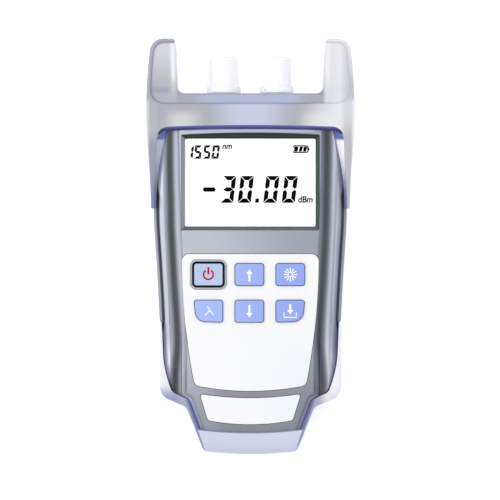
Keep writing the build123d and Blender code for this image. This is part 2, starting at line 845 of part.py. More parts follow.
def make_case_screws():
    screws = []
    low = screw_seat - screw_head_height
    width, gap, depth = screw_slot
    for side in (1, -1):
        for x, y in screw_spots:
            head = post(side * x, y, screw_head_radius, low, screw_seat)
            shank = post(side * x, y, screw_radius, screw_seat, parting + screw_reach)
            cross = Box(width, gap, depth) + Box(gap, width, depth)
            screws.append(head + shank - Pos(side * x, y, low) * cross)
    return Compound(children=screws)


def make_board_screws():
    screws = []
    for side in (1, -1):
        for y in post_rows:
            head = post(side * post_x, y, board_screw_head, board_under - 1.0, board_under)
            shank = post(side * post_x, y, board_screw_radius, board_under, board_top + board_screw_reach)
            screws.append(head + shank)
    return Compound(children=screws)


parts = {
    "rubber_boot": make_boot(),
    "front_shell": make_front_shell(),
    "rear_shell": make_rear_shell(),
    "display_window": make_display_window(),
    "display_panel": make_display_panel(),
    "display_tray": make_display_tray(),
    "keypad_overlay": make_overlay(),
    "nameplate": make_nameplate(),
    "power_key_surround": make_surround(),
    "keypad_mat": make_keypad_mat(),
    "main_board": make_main_board(),
    "key_switches": make_key_switches(),
    "board_chips": make_board_chips(),
    "shield_can": make_shield_can(),
    "battery_springs": Compound(children=[spring(c) for c in (-1, 0, 1)]),
    "battery_plates": Compound(children=[contact_plate(c) for c in (-1, 0, 1)]),
    "battery_door": make_door(),
    "case_screws": make_case_screws(),
    "board_screws": make_board_screws(),
}
for key_name in key_names:
    parts[key_name] = key_solid(key_name)
for label, side in (("left", -1), ("right", 1)):
    parts[f"port_adapter_{label}"] = make_adapter(side)
    parts[f"port_sleeve_{label}"] = make_sleeve(side)
    parts[f"detector_{label}"] = make_detector(side)
    parts[f"dust_cap_{label}"] = make_cap(side)
for number, column in enumerate((-1, 0, 1), start=1):
    parts[f"battery_{number}"] = make_battery(column)

os.makedirs("parts", exist_ok=True)
for node, solid in parts.items():
    export_step(solid, f"parts/{node}.step")
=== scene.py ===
import math

import bpy
import numpy as np
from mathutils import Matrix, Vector


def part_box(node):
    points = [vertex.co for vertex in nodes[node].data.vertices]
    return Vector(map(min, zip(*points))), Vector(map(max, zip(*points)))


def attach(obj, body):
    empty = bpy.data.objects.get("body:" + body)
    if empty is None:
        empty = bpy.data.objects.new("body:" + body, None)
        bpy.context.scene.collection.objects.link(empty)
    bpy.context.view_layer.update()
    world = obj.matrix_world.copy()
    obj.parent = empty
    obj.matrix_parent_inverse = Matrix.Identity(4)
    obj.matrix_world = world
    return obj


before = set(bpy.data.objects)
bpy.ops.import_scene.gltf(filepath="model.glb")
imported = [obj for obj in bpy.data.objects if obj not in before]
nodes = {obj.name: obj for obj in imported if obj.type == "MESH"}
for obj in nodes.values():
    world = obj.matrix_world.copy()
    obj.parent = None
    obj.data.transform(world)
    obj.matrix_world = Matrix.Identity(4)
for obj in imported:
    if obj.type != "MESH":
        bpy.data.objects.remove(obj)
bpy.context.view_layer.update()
scene = bpy.context.scene


# Table, room light and camera. The meter lies on a white table and is seen from straight above;
# a large soft box stands on its left, a weaker one hangs overhead and the room is pale.
MM = 0.001
view_span = 0.210
view_rise = 1.5
view_middle = (-0.00013, -0.0016)
sensor_width = 36.0
face_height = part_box("front_shell")[1].z

camera_data = bpy.data.cameras.new("camera")
camera_data.sensor_width = sensor_width
camera_data.lens = sensor_width * view_rise / view_span
camera = bpy.data.objects.new("camera", camera_data)
camera.location = (*view_middle, face_height + view_rise)
scene.collection.objects.link(camera)
scene.camera = camera
scene.view_settings.view_transform = "Standard"

room_tone = (0.98, 0.985, 1.0, 1.0)
room_strength = 0.72
room = bpy.data.worlds.new("room")
room.use_nodes = True
background = room.node_tree.nodes["Background"]
background.inputs["Color"].default_value = room_tone
background.inputs["Strength"].default_value = room_strength
scene.world = room


def soft_box(name, place, size, power):
    """A square area light aimed at the middle of the meter."""
    light = bpy.data.lights.new(name, "AREA")
    light.shape = "SQUARE"
    light.size = size
    light.energy = power
    lamp = bpy.data.objects.new(name, light)
    lamp.location = place
    lamp.rotation_euler = (-Vector(place)).to_track_quat("-Z", "Y").to_euler()
    scene.collection.objects.link(lamp)


soft_box("left_box", (-1.0, 0.35, 1.2), 1.1, 5.0)
soft_box("top_box", (0.1, 0.3, 2.2), 1.8, 7.0)


class Wire:
    """A socket of a material's nodes that takes part in sums; each operation adds its Math node."""

    def __init__(self, socket):
        self.socket = socket

    def new(self, kind, settings, inputs, output=0):
        """Add a node of a kind: its settings first, then the values or links of its sockets."""
        tree = self.socket.id_data
        node = tree.nodes.new(kind)
        for key, value in settings.items():
            setattr(node, key, value)
        for key, value in inputs.items():
            if isinstance(value, Wire):
                tree.links.new(value.socket, node.inputs[key])
            else:
                node.inputs[key].default_value = value
        return Wire(node.outputs[output])

    def math(self, operation, *values):
        """Add a Math node for an operation on these values."""
        return self.new("ShaderNodeMath", {"operation": operation}, dict(enumerate(values)))

    def __add__(self, other):
        return self.math("ADD", self, other)

    def __radd__(self, other):
        return self.math("ADD", other, self)

    def __sub__(self, other):
        return self.math("SUBTRACT", self, other)

    def __rsub__(self, other):
        return self.math("SUBTRACT", other, self)

    def __mul__(self, other):
        return self.math("MULTIPLY", self, other)

    def __rmul__(self, other):
        return self.math("MULTIPLY", other, self)

    def __truediv__(self, other):
        return self.math("DIVIDE", self, other)

    def __pow__(self, other):
        return self.math("POWER", self, other)

    def __abs__(self):
        return self.math("ABSOLUTE", self)

    def least(self, other):
        return self.math("MINIMUM", self, other)

    def most(self, other):
        return self.math("MAXIMUM", self, other)

    def rise(self, start, end):
        """0 before start, 1 after end, and a smooth step between them; start may be the larger."""
        inputs = {0: self, 1: start, 2: end}
        return self.new("ShaderNodeMapRange", {"interpolation_type": "SMOOTHSTEP"}, inputs)

    def blend(self, under, over):
        """Colour under where this mask is 0, and over where it is 1."""
        return self.new("ShaderNodeMix", {"data_type": "RGBA"}, {0: self, 6: under, 7: over}, output=2)


def rgb(red, green, blue):
    """Linear colour from screen levels of 0 to 255."""
    levels = np.array([red, green, blue]) / 255.0
    linear = np.where(levels > 0.04045, ((levels + 0.055) / 1.055) ** 2.4, levels / 12.92)
    return (*linear.tolist(), 1.0)


class Finish:
    """A material under construction: its shader, and the place and facing of each point in mm."""

    def __init__(self, name, **constants):
        self.material = bpy.data.materials.new(name)
        self.material.use_nodes = True
        self.tree = self.material.node_tree
        self.shader = self.tree.nodes["Principled BSDF"]
        for key, value in constants.items():
            self.shader.inputs[key.replace("_", " ")].default_value = value
        source = self.tree.nodes.new("ShaderNodeTexCoord")
        self.object_place = Wire(source.outputs["Object"])
        place = self.object_place.new("ShaderNodeSeparateXYZ", {}, {0: self.object_place})
        outputs = place.socket.node.outputs
        self.x, self.y, self.z = (Wire(outputs[axis]) * 1000.0 for axis in range(3))
        facing = Wire(source.outputs["Normal"])
        facing = facing.new("ShaderNodeSeparateXYZ", {}, {0: facing}).socket.node.outputs
        self.face_x, self.face_y, self.face_z = (Wire(facing[axis]) for axis in range(3))

    def noise(self, size_mm, detail=2.0, stretch=(1.0, 1.0, 1.0)):
        """Smooth noise from 0 to 1 with features of about this size."""
        place = self.object_place
        if stretch != (1.0, 1.0, 1.0):
            place = place.new("ShaderNodeMapping", {}, {"Vector": place, "Scale": stretch})
        inputs = {"Vector": place, "Scale": 1000.0 / size_mm, "Detail": detail}
        return place.new("ShaderNodeTexNoise", {}, inputs)

    def grain(self, height, strength, depth_mm):
        """Bump the surface by a height of 0 to 1."""
        inputs = {"Height": height, "Strength": strength, "Distance": depth_mm * MM}
        self.feed("Normal", height.new("ShaderNodeBump", {}, inputs))

    def feed(self, socket, wire):
        """Link a wire to one of the shader's sockets."""
        self.tree.links.new(wire.socket, self.shader.inputs[socket])


def dress(finish, *names):
    """Give CAD nodes a finish."""
    for name in names:
        for slot in nodes[name].material_slots:
            slot.material = finish.material


table_size = 3.0
table = bpy.data.meshes.new("table")
edge = table_size / 2
table_corners = [(-edge, -edge, 0), (edge, -edge, 0), (edge, edge, 0), (-edge, edge, 0)]
table.from_pydata(table_corners, [], [(0, 1, 2, 3)])
table_top = bpy.data.objects.new("table_top", table)
table_white = Finish("table_white", Roughness=0.9, Base_Color=rgb(252, 252, 252), Emission_Strength=0.35)
table_white.shader.inputs["Emission Color"].default_value = rgb(255, 255, 255)
table_white.feed("Roughness", table_white.noise(4.0) * 0.1 + 0.85)
table.materials.append(table_white.material)
scene.collection.objects.link(table_top)


# Rubber boot: one moulded sleeve of milky silicone, thin enough to let light through. Its tone goes
# from clear grey on the horns to blue-violet where an edge gathers the light, at the lips and the taper.
# Light and shade are partly painted in: painted highlights wash out its right side, the horns' inner
# edges and the lobes; painted shade darkens the crease, the foot of the horns and the lip's step; and
# the ledge inside the hood glows with painted light.
# It is stretched over the closed case. Stations on x, y and z are in mm, in the meter's own frame.
boot_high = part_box("rubber_boot")[1] / MM
shell_low, shell_high = (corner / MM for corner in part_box("front_shell"))
crease_inset = 1.7
crease_narrowing = 2.2
crease_y = shell_high.y - 1.9
crease_round = 6.0
tip_round = 3.9
lip_y = shell_high.y - 12.6
lip_slope = 1.7
lip_drop = 0.7 / 34.4 ** 2
foot_lip_y = shell_low.y + 6.9
foot_lip_rise = 1.4 / 22.0 ** 2
hood_wide_y = shell_high.y - 3.8
horn_inner_x = boot_high.x - 12.2
horn_draft = 1.0 / 23.0
tail_half = 18.6
neck_y = shell_low.y + 20.6
neck_half = 25.8

silicone = Finish(
    "boot_silicone", Roughness=0.42, IOR=1.41, Subsurface_Weight=0.2, Subsurface_Scale=0.0015,
    Subsurface_Radius=(0.8, 0.85, 1.0), Coat_Weight=0.1, Coat_Roughness=0.3, Emission_Strength=0.4,
)
x, y, z = silicone.x, silicone.y, silicone.z
side = abs(x)
# right fades in towards the right side, where painted highlight washes the silicone out to near white; the
# crease's painted shade fades there too.
right = x.rise(18.0, 38.0)
cloud = silicone.noise(14.0, detail=3.0)

# Signed distance from the U-shaped crease that divides the horns' faces from the outer rim
tilt = ((y - hood_wide_y) / (boot_high.y - hood_wide_y)).most(0.0)
crease_half = boot_high.x - crease_inset - crease_narrowing * tilt * tilt
across = side - crease_half + crease_round
down = crease_y + crease_round - y
outside = (across.most(0.0) ** 2.0 + down.most(0.0) ** 2.0) ** 0.5
crease = outside + across.most(down).least(0.0) - crease_round
across = side - crease_half + tip_round
up = y - boot_high.y + crease_inset + tip_round
outside = (across.most(0.0) ** 2.0 + up.most(0.0) ** 2.0) ** 0.5
crease = crease.most(outside + across.most(up).least(0.0) - tip_round)
# Painted shade along the crease's step, fading out on the right.
crease_shade = (1.0 - abs(crease).rise(0.1, 0.55)) * (1.0 - right * 0.8)

# Hood and bridge, below the crease
middle = side.rise(20.0, 4.0)
hood = middle.blend(rgb(174, 176, 182), rgb(201, 206, 230))
pale_patch = side.rise(18.0, 28.0) * side.rise(38.0, 30.0) * y.rise(58.5, 53.5)
hood = pale_patch.blend(hood, rgb(214, 215, 216))
# Painted highlight washes the right of the hood out to near white.
hood = (right * 0.85).blend(hood, rgb(246, 246, 247))
flank = side.rise(37.5, 40.0)
flank_tone = y.rise(50.0, 40.0).blend(rgb(180, 183, 190), rgb(146, 150, 166))
flank_tone = y.rise(38.0, 18.0).blend(flank_tone, rgb(122, 129, 168))
# Painted highlight on the right flank.
flank_tone = right.blend(flank_tone, y.rise(56.0, 44.0).blend(rgb(222, 222, 224), rgb(190, 191, 197)))
hood = flank.blend(hood, flank_tone)
hood = side.rise(42.0, 43.2).blend(hood, right.blend(rgb(210, 211, 214), rgb(244, 244, 246)))

# Faces of the horns and the shelf between them, above the crease
shelf = side.rise(25.0, 17.0).blend(rgb(172, 174, 182), rgb(180, 187, 217))
shelf = y.rise(63.2, 63.9).blend(shelf, rgb(156, 159, 180))
horn = y.rise(66.0, 84.0).blend(rgb(182, 184, 191), rgb(216, 217, 221))
# Painted shade in the fold at the foot of the horns.
fold_shade = y.rise(63.6, 65.0) * y.rise(67.4, 65.8)
horn = (fold_shade * 0.6).blend(horn, rgb(150, 153, 178))
from_edge = side - horn_inner_x + (boot_high.y - y) * horn_draft
# Painted highlight along each horn's inner edge: a near-white line on the rounded edge and a lighter band
# beside it.
horn_edge_highlight = from_edge.rise(2.6, 1.7) * from_edge.rise(0.1, 0.6) * y.rise(67.0, 72.0)
inner = from_edge.rise(4.4, 1.0) * y.rise(62.0, 66.0)
horn = (inner * 0.6).blend(horn, rgb(226, 226, 228))
horn = horn_edge_highlight.blend(horn, rgb(244, 244, 246))
# Painted highlight washes the right horn and its rim out to near white.
horn = (right * 0.8).blend(horn, side.rise(37.5, 41.0).blend(rgb(244, 244, 246), rgb(216, 216, 219)))
raised = side.rise(30.0, 32.0).blend(shelf, horn)
rim = side.rise(42.2, 43.4).blend(rgb(168, 169, 178), rgb(172, 173, 176))
rim = (right * 0.8).blend(rim, y.rise(80.0, 66.0).blend(rgb(248, 248, 249), rgb(212, 212, 215)))
upper = crease.rise(-0.1, 0.1).blend(raised, y.rise(60.0, 62.5).blend(hood, rim))
# Tone of the painted shade along the crease.
crease_shade_tone = middle.blend(rgb(138, 139, 160), rgb(150, 156, 198))
upper = (crease_shade * 0.85).blend(upper, crease_shade_tone)

# The sloped lip over the case is the silicone's blue, darkened to deep blue by painted shade of the step
# below it; the ledge inside its corners has painted blue shade near the lip, a lighter tone further down, and
# glows with painted light
lip = y - lip_y + side * side * lip_drop
sloped = (0.0 - silicone.face_y).rise(0.25, 0.45) * silicone.face_z.rise(0.3, 0.5)
lip_shade_band = sloped * lip.rise(lip_slope + 1.2, lip_slope + 0.6) * lip.rise(-6.0, -5.0)
upper = lip_shade_band.blend(upper, lip.rise(0.4, lip_slope + 0.2).blend(rgb(4, 10, 104), rgb(104, 114, 192)))
# The ledge inside the hood's corners: painted blue shade near the lip, painted highlight on the right.
ledge = z.rise(27.4, 27.0) * y.rise(53.0, 51.0)
ledge_light_and_shade = y.rise(40.0, 20.0).blend(right.blend(rgb(178, 182, 198), rgb(246, 246, 246)), rgb(124, 131, 176))
ledge_light_and_shade = y.rise(44.2, 45.6).blend(ledge_light_and_shade, rgb(94, 106, 176))
upper = ledge.blend(upper, ledge_light_and_shade)
# Painted light: where the ledge faces up it glows in its own tone.
ledge_painted_glow = (ledge * silicone.face_z.rise(0.5, 0.9) * y.rise(16.0, 17.0)).blend(rgb(0, 0, 0), ledge_light_and_shade)
silicone.feed("Emission Color", ledge_painted_glow)
# Painted highlight on the lobes at the waist, near white on the right, turning to the silicone's blue towards
# the taper.
lobe_highlight = y.rise(-57.0, -64.0).blend(rgb(243, 243, 246), rgb(146, 153, 198))
taper_edge = neck_half + (y - neck_y) * ((neck_half - tail_half) / (neck_y - shell_low.y))
taper = y.rise(-59.0, -64.0) * (side - taper_edge).rise(-0.8, 0.2) * y.rise(-85.5, -82.0)
lobe_highlight = x.rise(14.0, 26.0).blend(lobe_highlight, y.rise(-57.0, -63.0).blend(rgb(252, 252, 253), rgb(236, 238, 244)))
taper_tone = (side - taper_edge).rise(0.2, 2.0).blend(rgb(78, 88, 164), rgb(168, 172, 194))
lower = (taper * side.rise(33.0, 28.0)).blend(lobe_highlight, taper_tone)
foot_line = y - foot_lip_y - side * side * foot_lip_rise
foot = foot_line.rise(0.15, -0.15) * (side - taper_edge).rise(0.9, 0.3)
foot_face = y.rise(-86.0, -80.0).blend(rgb(202, 208, 232), rgb(212, 217, 239))
lower = foot.blend(lower, foot_face)
lower = (foot * foot_line.rise(-0.45, -0.2)).blend(lower, rgb(108, 112, 152))
skin = y.rise(-31.0, 16.0).blend(lower, upper)
wall_tone = y.rise(-70.0, 58.0).blend(rgb(176, 182, 216), rgb(196, 200, 220))
wall_tone = y.rise(60.0, 66.0).blend(wall_tone, rgb(226, 228, 238))
skin = silicone.face_z.rise(0.15, 0.5).blend(wall_tone, skin)
skin = (cloud * 0.12).blend(skin, rgb(236, 238, 248))
silicone.feed("Base Color", skin)
silicone.feed("Roughness", 0.36 + silicone.noise(3.0) * 0.16)
silicone.grain(silicone.noise(0.5, detail=3.0), 0.25, 0.05)
dress(silicone, "rubber_boot")


# Front shell: moulded case half in satin silver-grey paint with a fine metallic grain. Light from the
# left is partly painted into its colour: the face grows darker to the right and low down, the flutes get
# painted shade in their hollows and painted highlights beside them and on the shoulders, and painted
# shade darkens the outer sides at the waist and the gap round the films. The display frame has dark
# sloped sides painted lighter or darker by their facing, lightest on its left. Four screws from behind
# hold the shell to the rear one.
window_low, window_high = (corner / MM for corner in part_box("display_window"))
frame_y = (window_low.y + window_high.y) / 2
frame_half = (29.2, 20.15)
frame_low_y = 6.4
groove_top = 30.4
groove_half = 29.1

paint = Finish("front_paint", Metallic=0.55, Roughness=0.36, Coat_Weight=0.15, Coat_Roughness=0.25)
x, y, z = paint.x, paint.y, paint.z
grain = paint.noise(0.28, detail=2.0)
side = abs(x)
flute_x = 29.5 + y.rise(-58.0, 40.0) * 3.6 + y.rise(-38.0, -58.0) * 1.3
flute_x = flute_x + y.rise(22.0, 6.0) * y.rise(-34.0, -14.0) * 0.3
across = (side - flute_x) * x.math("SIGN", x) - 0.3
# Painted light from the left: the face is lighter on the left, darker to the right, and darker still low
# down.
satin_with_painted_light = x.rise(-26.0, 30.0).blend(rgb(186, 190, 199), rgb(152, 156, 167))
satin_with_painted_light = y.rise(-40.0, -68.0).blend(satin_with_painted_light, x.rise(-26.0, -8.0).blend(rgb(160, 164, 173), rgb(132, 136, 145)))
# Painted lavender reflection of the boot along the top edge of the shell.
lavender_reflection = y.rise(47.4, 48.4) * side.rise(28.0, 26.0)
satin_with_painted_light = lavender_reflection.blend(satin_with_painted_light, rgb(178, 182, 214))
flank = side.rise(26.0, 28.0)
# Painted light on each flute's left-facing side: a highlight on the right flute, a mid tone on the left one,
# and a highlight low down on both.
flute_highlight = across.rise(0.8, 2.2) * across.rise(4.6, 3.2)
flute_highlight_tone = x.rise(-5.0, 5.0).blend(rgb(168, 172, 183), rgb(222, 226, 236))
flute_highlight_tone = y.rise(-30.0, -56.0).blend(rgb(190, 194, 205), flute_highlight_tone)
satin_with_painted_light = (flank * flute_highlight * 0.8).blend(satin_with_painted_light, flute_highlight_tone)
# Painted shade in the hollow of each flute.
flute_shade = across.rise(-3.7, -1.4) * across.rise(2.0, -0.6)
satin_with_painted_light = (flank * flute_shade).blend(satin_with_painted_light, rgb(66, 69, 76))
# Painted highlight on the rounded shoulders outside the flutes; on the right it is faint up high.
brim_start = flute_x + 3.7 - x.rise(5.0, -5.0) * 1.1
brim_highlight = side.rise(brim_start, brim_start + 1.2)
brim_highlight_left = y.rise(16.0, 24.0).blend(rgb(198, 202, 213), rgb(210, 214, 224))
brim_highlight_left = y.rise(-36.0, -50.0).blend(brim_highlight_left, rgb(240, 244, 252))
brim_highlight_right = y.rise(-40.0, -52.0).blend(rgb(156, 160, 174), rgb(206, 210, 222))
satin_with_painted_light = brim_highlight.blend(satin_with_painted_light, x.rise(-5.0, 5.0).blend(brim_highlight_left, brim_highlight_right))
satin_with_painted_light = (grain.rise(0.35, 0.7) * 0.14).blend(satin_with_painted_light, rgb(120, 124, 134))
# Painted shade: the floor of the gap round the films is near black.
groove_shade = z.rise(groove_top + 0.1, groove_top) * paint.face_z.rise(0.95, 0.98)
groove_shade = groove_shade * side.rise(groove_half + 0.1, groove_half)
satin_with_painted_light = groove_shade.blend(satin_with_painted_light, rgb(14, 15, 20))
# Outer sides and roundings get painted light and shade: light at the top, navy shade at the waist, near white
# low down and on the tail; upright sides stay plain grey.
waist = y.rise(30.0, 20.0) * y.rise(-40.0, -30.0)
wall_light_and_shade = paint.face_z.rise(0.4 + waist * 0.57, 0.15 + waist * 0.66)
wall_light_and_shade = wall_light_and_shade * side.rise(flute_x + 3.5, flute_x + 4.0)
tail_painted_light = paint.face_z.rise(0.99, 0.7) * y.rise(-60.0, -64.0) * side.rise(16.5, 18.0)
wall_light_and_shade = wall_light_and_shade.most(tail_painted_light)
tail_light_tone = x.rise(-5.0, 5.0).blend(rgb(226, 230, 240), rgb(182, 186, 198))
# Painted tones for the outer sides: light at the top, navy shade at the waist, near white below.
wall_tone = y.rise(39.0, 28.0).blend(rgb(212, 217, 230), rgb(38, 41, 58))
wall_tone = y.rise(-34.0, -42.0).blend(wall_tone, rgb(110, 114, 132))
wall_tone = y.rise(-44.0, -52.0).blend(wall_tone, rgb(240, 244, 252))
wall_tone = y.rise(-57.0, -62.0).blend(wall_tone, tail_light_tone)
wall_tone = paint.face_z.rise(0.3, 0.12).blend(wall_tone, rgb(150, 154, 164))
satin_with_painted_light = wall_light_and_shade.blend(satin_with_painted_light, wall_tone)
frame_side = side.rise(frame_half[0] + 0.05, frame_half[0])
in_frame = frame_side * abs(y - frame_y).rise(frame_half[1] + 0.9, frame_half[1] + 0.8)
in_frame = in_frame * y.rise(frame_low_y, frame_low_y + 0.1)
sloped = paint.face_z.rise(0.97, 0.9) * in_frame
# Painted light on the frame's dark green-grey slopes: lighter and darker copies by facing, lightest facing
# right on its left side, darkest facing down along its top.
bevel_painted_light = paint.face_x.rise(0.2, 0.6).blend(rgb(56, 73, 69), rgb(146, 155, 164))
bevel_painted_light = paint.face_y.rise(0.2, 0.6).blend(bevel_painted_light, rgb(86, 101, 103))
bevel_painted_light = paint.face_y.rise(-0.2, -0.6).blend(bevel_painted_light, rgb(22, 37, 34))
satin_with_painted_light = sloped.blend(satin_with_painted_light, bevel_painted_light)
paint.feed("Base Color", satin_with_painted_light)
paint.feed("Metallic", (1.0 - sloped.most(wall_light_and_shade)) * 0.55)
paint.feed("Roughness", 0.34 + paint.noise(1.2) * 0.1 + wall_light_and_shade * 0.4)
paint.grain(grain, 0.3, 0.03)
dress(paint, "front_shell")


# Rear shell and battery door: light grey moulded plastic with a fine spark-eroded texture. The shell
# meets the front one face to face, and the door slides on three pairs of hooks.
rear_grey = Finish("rear_grey", Roughness=0.5)
sparks = rear_grey.noise(0.45, detail=3.0)
tone = sparks.rise(0.3, 0.75).blend(rgb(196, 199, 204), rgb(178, 182, 189))
rear_grey.feed("Base Color", (rear_grey.noise(20.0) * 0.25).blend(tone, rgb(206, 208, 213)))
rear_grey.feed("Roughness", 0.44 + sparks * 0.18)
rear_grey.grain(sparks, 0.4, 0.04)
dress(rear_grey, "rear_shell", "battery_door")


# Display: a clear lens lies against the back of the frame, over liquid-crystal glass that glows faintly
# with painted light to keep it bright. The glass is held in a white moulded tray that stands on the main
# board.
lens = Finish("clear_lens", Roughness=0.04, IOR=1.49, Alpha=0.012, Base_Color=rgb(20, 24, 26))
lens.feed("Roughness", 0.03 + lens.noise(6.0) * 0.03)
dress(lens, "display_window")

# Painted light: the glass glows faintly in its own tone.
glass = Finish("display_glass", Roughness=0.25, Emission_Strength=0.5, Base_Color=rgb(250, 251, 251))
glass_glow = glass.noise(9.0).blend(rgb(249, 250, 250), rgb(253, 253, 252))
glass.feed("Base Color", glass_glow)
glass.feed("Emission Color", glass_glow)
dress(glass, "display_panel")

tray = Finish("tray_plastic", Roughness=0.45)
tray.feed("Base Color", tray.noise(5.0).blend(rgb(232, 233, 230), rgb(240, 240, 238)))
tray.grain(tray.noise(0.6), 0.3, 0.03)
dress(tray, "display_tray")


def prism(outline, low, high):
    """A flat plate from a closed outline of (x, y) rows: its points at two heights, a floor and a roof
    face, and one side face for each edge."""
    count = len(outline)
    points = np.vstack([np.column_stack([outline, np.full(count, z)]) for z in (low, high)])
    here = np.arange(count)
    after = (here + 1) % count
    sides = np.column_stack([here, after, after + count, here + count])
    floor = tuple(here[::-1].tolist())
    roof = tuple((here + count).tolist())
    return points, [floor, roof] + [tuple(face) for face in sides.tolist()]


def band(outer, inner, low, high):
    """A flat ring between two closed outlines with as many points each: quads on all four sides."""
    count = len(outer)
    layers = [(outer, low), (outer, high), (inner, high), (inner, low)]
    points = np.vstack([np.column_stack([line, np.full(count, z)]) for line, z in layers])
    here = np.arange(count)
    after = (here + 1) % count
    faces = []
    for layer in range(4):
        this, then = layer * count, (layer + 1) % 4 * count
        faces += np.column_stack([here + this, after + this, after + then, here + then]).tolist()
    return points, faces


def stroke(path, width, low, high):
    """A line of even width: the path's points moved half a width to each side along its normals."""
    path = np.asarray(path, float)
    run = np.gradient(path, axis=0)
    run /= np.linalg.norm(run, axis=1)[:, None]
    normal = np.column_stack([-run[:, 1], run[:, 0]]) * width / 2
    return prism(np.vstack([path + normal, (path - normal)[::-1]])[::-1], low, high)


def counterclockwise(outline):
    """The outline turned, where needed, so that its area is positive."""
    outline = np.asarray(outline, float)
    after = np.roll(outline, -1, axis=0)
    area = (outline[:, 0] * after[:, 1] - outline[:, 1] * after[:, 0]).sum()
    return outline if area > 0 else outline[::-1]


def piece(name, shapes, finish, body):
    """Join plates, given in mm, into one mesh that rides on a body."""
    points, faces, start = [], [], 0
    for shape_points, shape_faces in shapes:
        points.append(shape_points)
        faces += [[corner + start for corner in face] for face in shape_faces]
        start += len(shape_points)
    mesh = bpy.data.meshes.new(name)
    mesh.from_pydata((np.vstack(points) * MM).tolist(), [], faces)
    mesh.materials.append(finish.material)
    made = bpy.data.objects.new(name, mesh)
    scene.collection.objects.link(made)
    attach(made, body)


# Marks of the liquid crystal: slanted seven-bar digits, their units and a battery gauge, as dark cells
# on the face of the glass. Outer bars are mitred, and the middle bar has pointed ends.
slant = math.tan(math.radians(6.8))
mark_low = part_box("display_panel")[1].z / MM - 0.04
mark_high = mark_low + 0.07
bars_of = {"0": "abcdef", "1": "bc", "3": "abcdg", "5": "acdfg"}


def bar_outlines(width, height, thick, gap):
    """The seven bars of one digit cell, named a to g clockwise from the top with g in the middle."""
    middle = height / 2
    near, far = thick + gap, width - thick - gap
    top = np.array([(gap, height), (near, height - thick), (far, height - thick), (width - gap, height)])
    left = np.array([(0, height - gap), (0, middle + 0.3 * thick + gap), (0.45 * thick, middle + gap),
                     (thick, middle + 0.5 * thick + gap), (thick, height - thick - gap)])
    inset = 0.35 * thick + 0.5 * gap
    centre = np.array([
        (inset, middle), (near, middle - thick / 2), (far, middle - thick / 2),
        (width - inset, middle), (far, middle + thick / 2), (near, middle + thick / 2),
    ])

    def flip_x(line):
        return line * (-1, 1) + (width, 0)

    def flip_y(line):
        return line * (1, -1) + (0, height)

    return {"a": top, "b": flip_x(left), "c": flip_x(flip_y(left)), "d": flip_y(top), "e": flip_y(left),
            "f": left, "g": centre}


def digits(text, lefts, base, width, height, thick, gap):
    """Plates for a row of digits whose cells start at lefts on a baseline, sheared by the slant."""
    outlines = bar_outlines(width, height, thick, gap)
    plates = []
    for figure, left in zip(text, lefts):
        for bar in bars_of[figure]:
            line = outlines[bar] + (left, base)
            line = line + np.column_stack([(line[:, 1] - base) * slant, np.zeros(len(line))])
            plates.append(prism(counterclockwise(line), mark_low, mark_high))
    return plates


ink = Finish("display_ink", Roughness=0.8, Specular_IOR_Level=0.0)
ink.feed("Base Color", ink.noise(2.0).blend(rgb(4, 4, 10), rgb(14, 14, 22)))

reading_lefts = (-12.8, -5.38, 5.4, 13.15)
reading = digits("3000", reading_lefts, base=18.24, width=5.6, height=11.34, thick=1.85, gap=0.16)
point = np.array([(1.97, 18.31), (3.6, 18.31), (3.78, 20.08), (2.15, 20.08)])
reading.append(prism(point, mark_low, mark_high))
minus = np.array([
    (-20.1, 23.86), (-19.5, 22.92), (-15.1, 22.92), (-14.45, 23.86), (-15.1, 24.8), (-19.5, 24.8),
])
reading.append(prism(minus, mark_low, mark_high))
piece("reading_digits", reading, ink, "case")

wavelength_lefts = (-27.3, -23.85, -20.05, -16.4)
wavelength = digits("1550", wavelength_lefts, base=36.78, width=3.0, height=5.7, thick=1.04, gap=0.04)
piece("wavelength_digits", wavelength, ink, "case")

gauge_low, gauge_high = 39.45, 42.25
gauge_middle = (gauge_low + gauge_high) / 2
gauge_line = 0.5
cell_margin = 0.35
gauge_rim = [
    (17.9, 41.5), (18.3, gauge_high), (23.5, gauge_high), (24.0, gauge_high - 0.1), (24.75, gauge_middle),
    (24.0, gauge_low + 0.1), (23.5, gauge_low), (18.3, gauge_low), (17.9, 40.2),
]
gauge = [stroke(gauge_rim, gauge_line, mark_low, mark_high)]
for left, right_end, lean in ((18.45, 20.0, 0.3), (20.35, 21.8, 0.5), (22.15, 23.6, 0.4)):
    lean_left = 0.0 if left < 19.0 else lean
    cell = [(left, gauge_low + cell_margin), (right_end - lean * 0.4, gauge_low + cell_margin),
            (right_end + lean, gauge_high - cell_margin), (left + lean_left, gauge_high - cell_margin)]
    gauge.append(prism(np.array(cell), mark_low, mark_high))
tip = np.array([(23.95, gauge_low + 0.6), (24.7, gauge_middle), (23.95, gauge_high - 0.6)])
gauge.append(prism(tip, mark_low, mark_high))
piece("battery_gauge", gauge, ink, "case")


letter_weight = 0.034


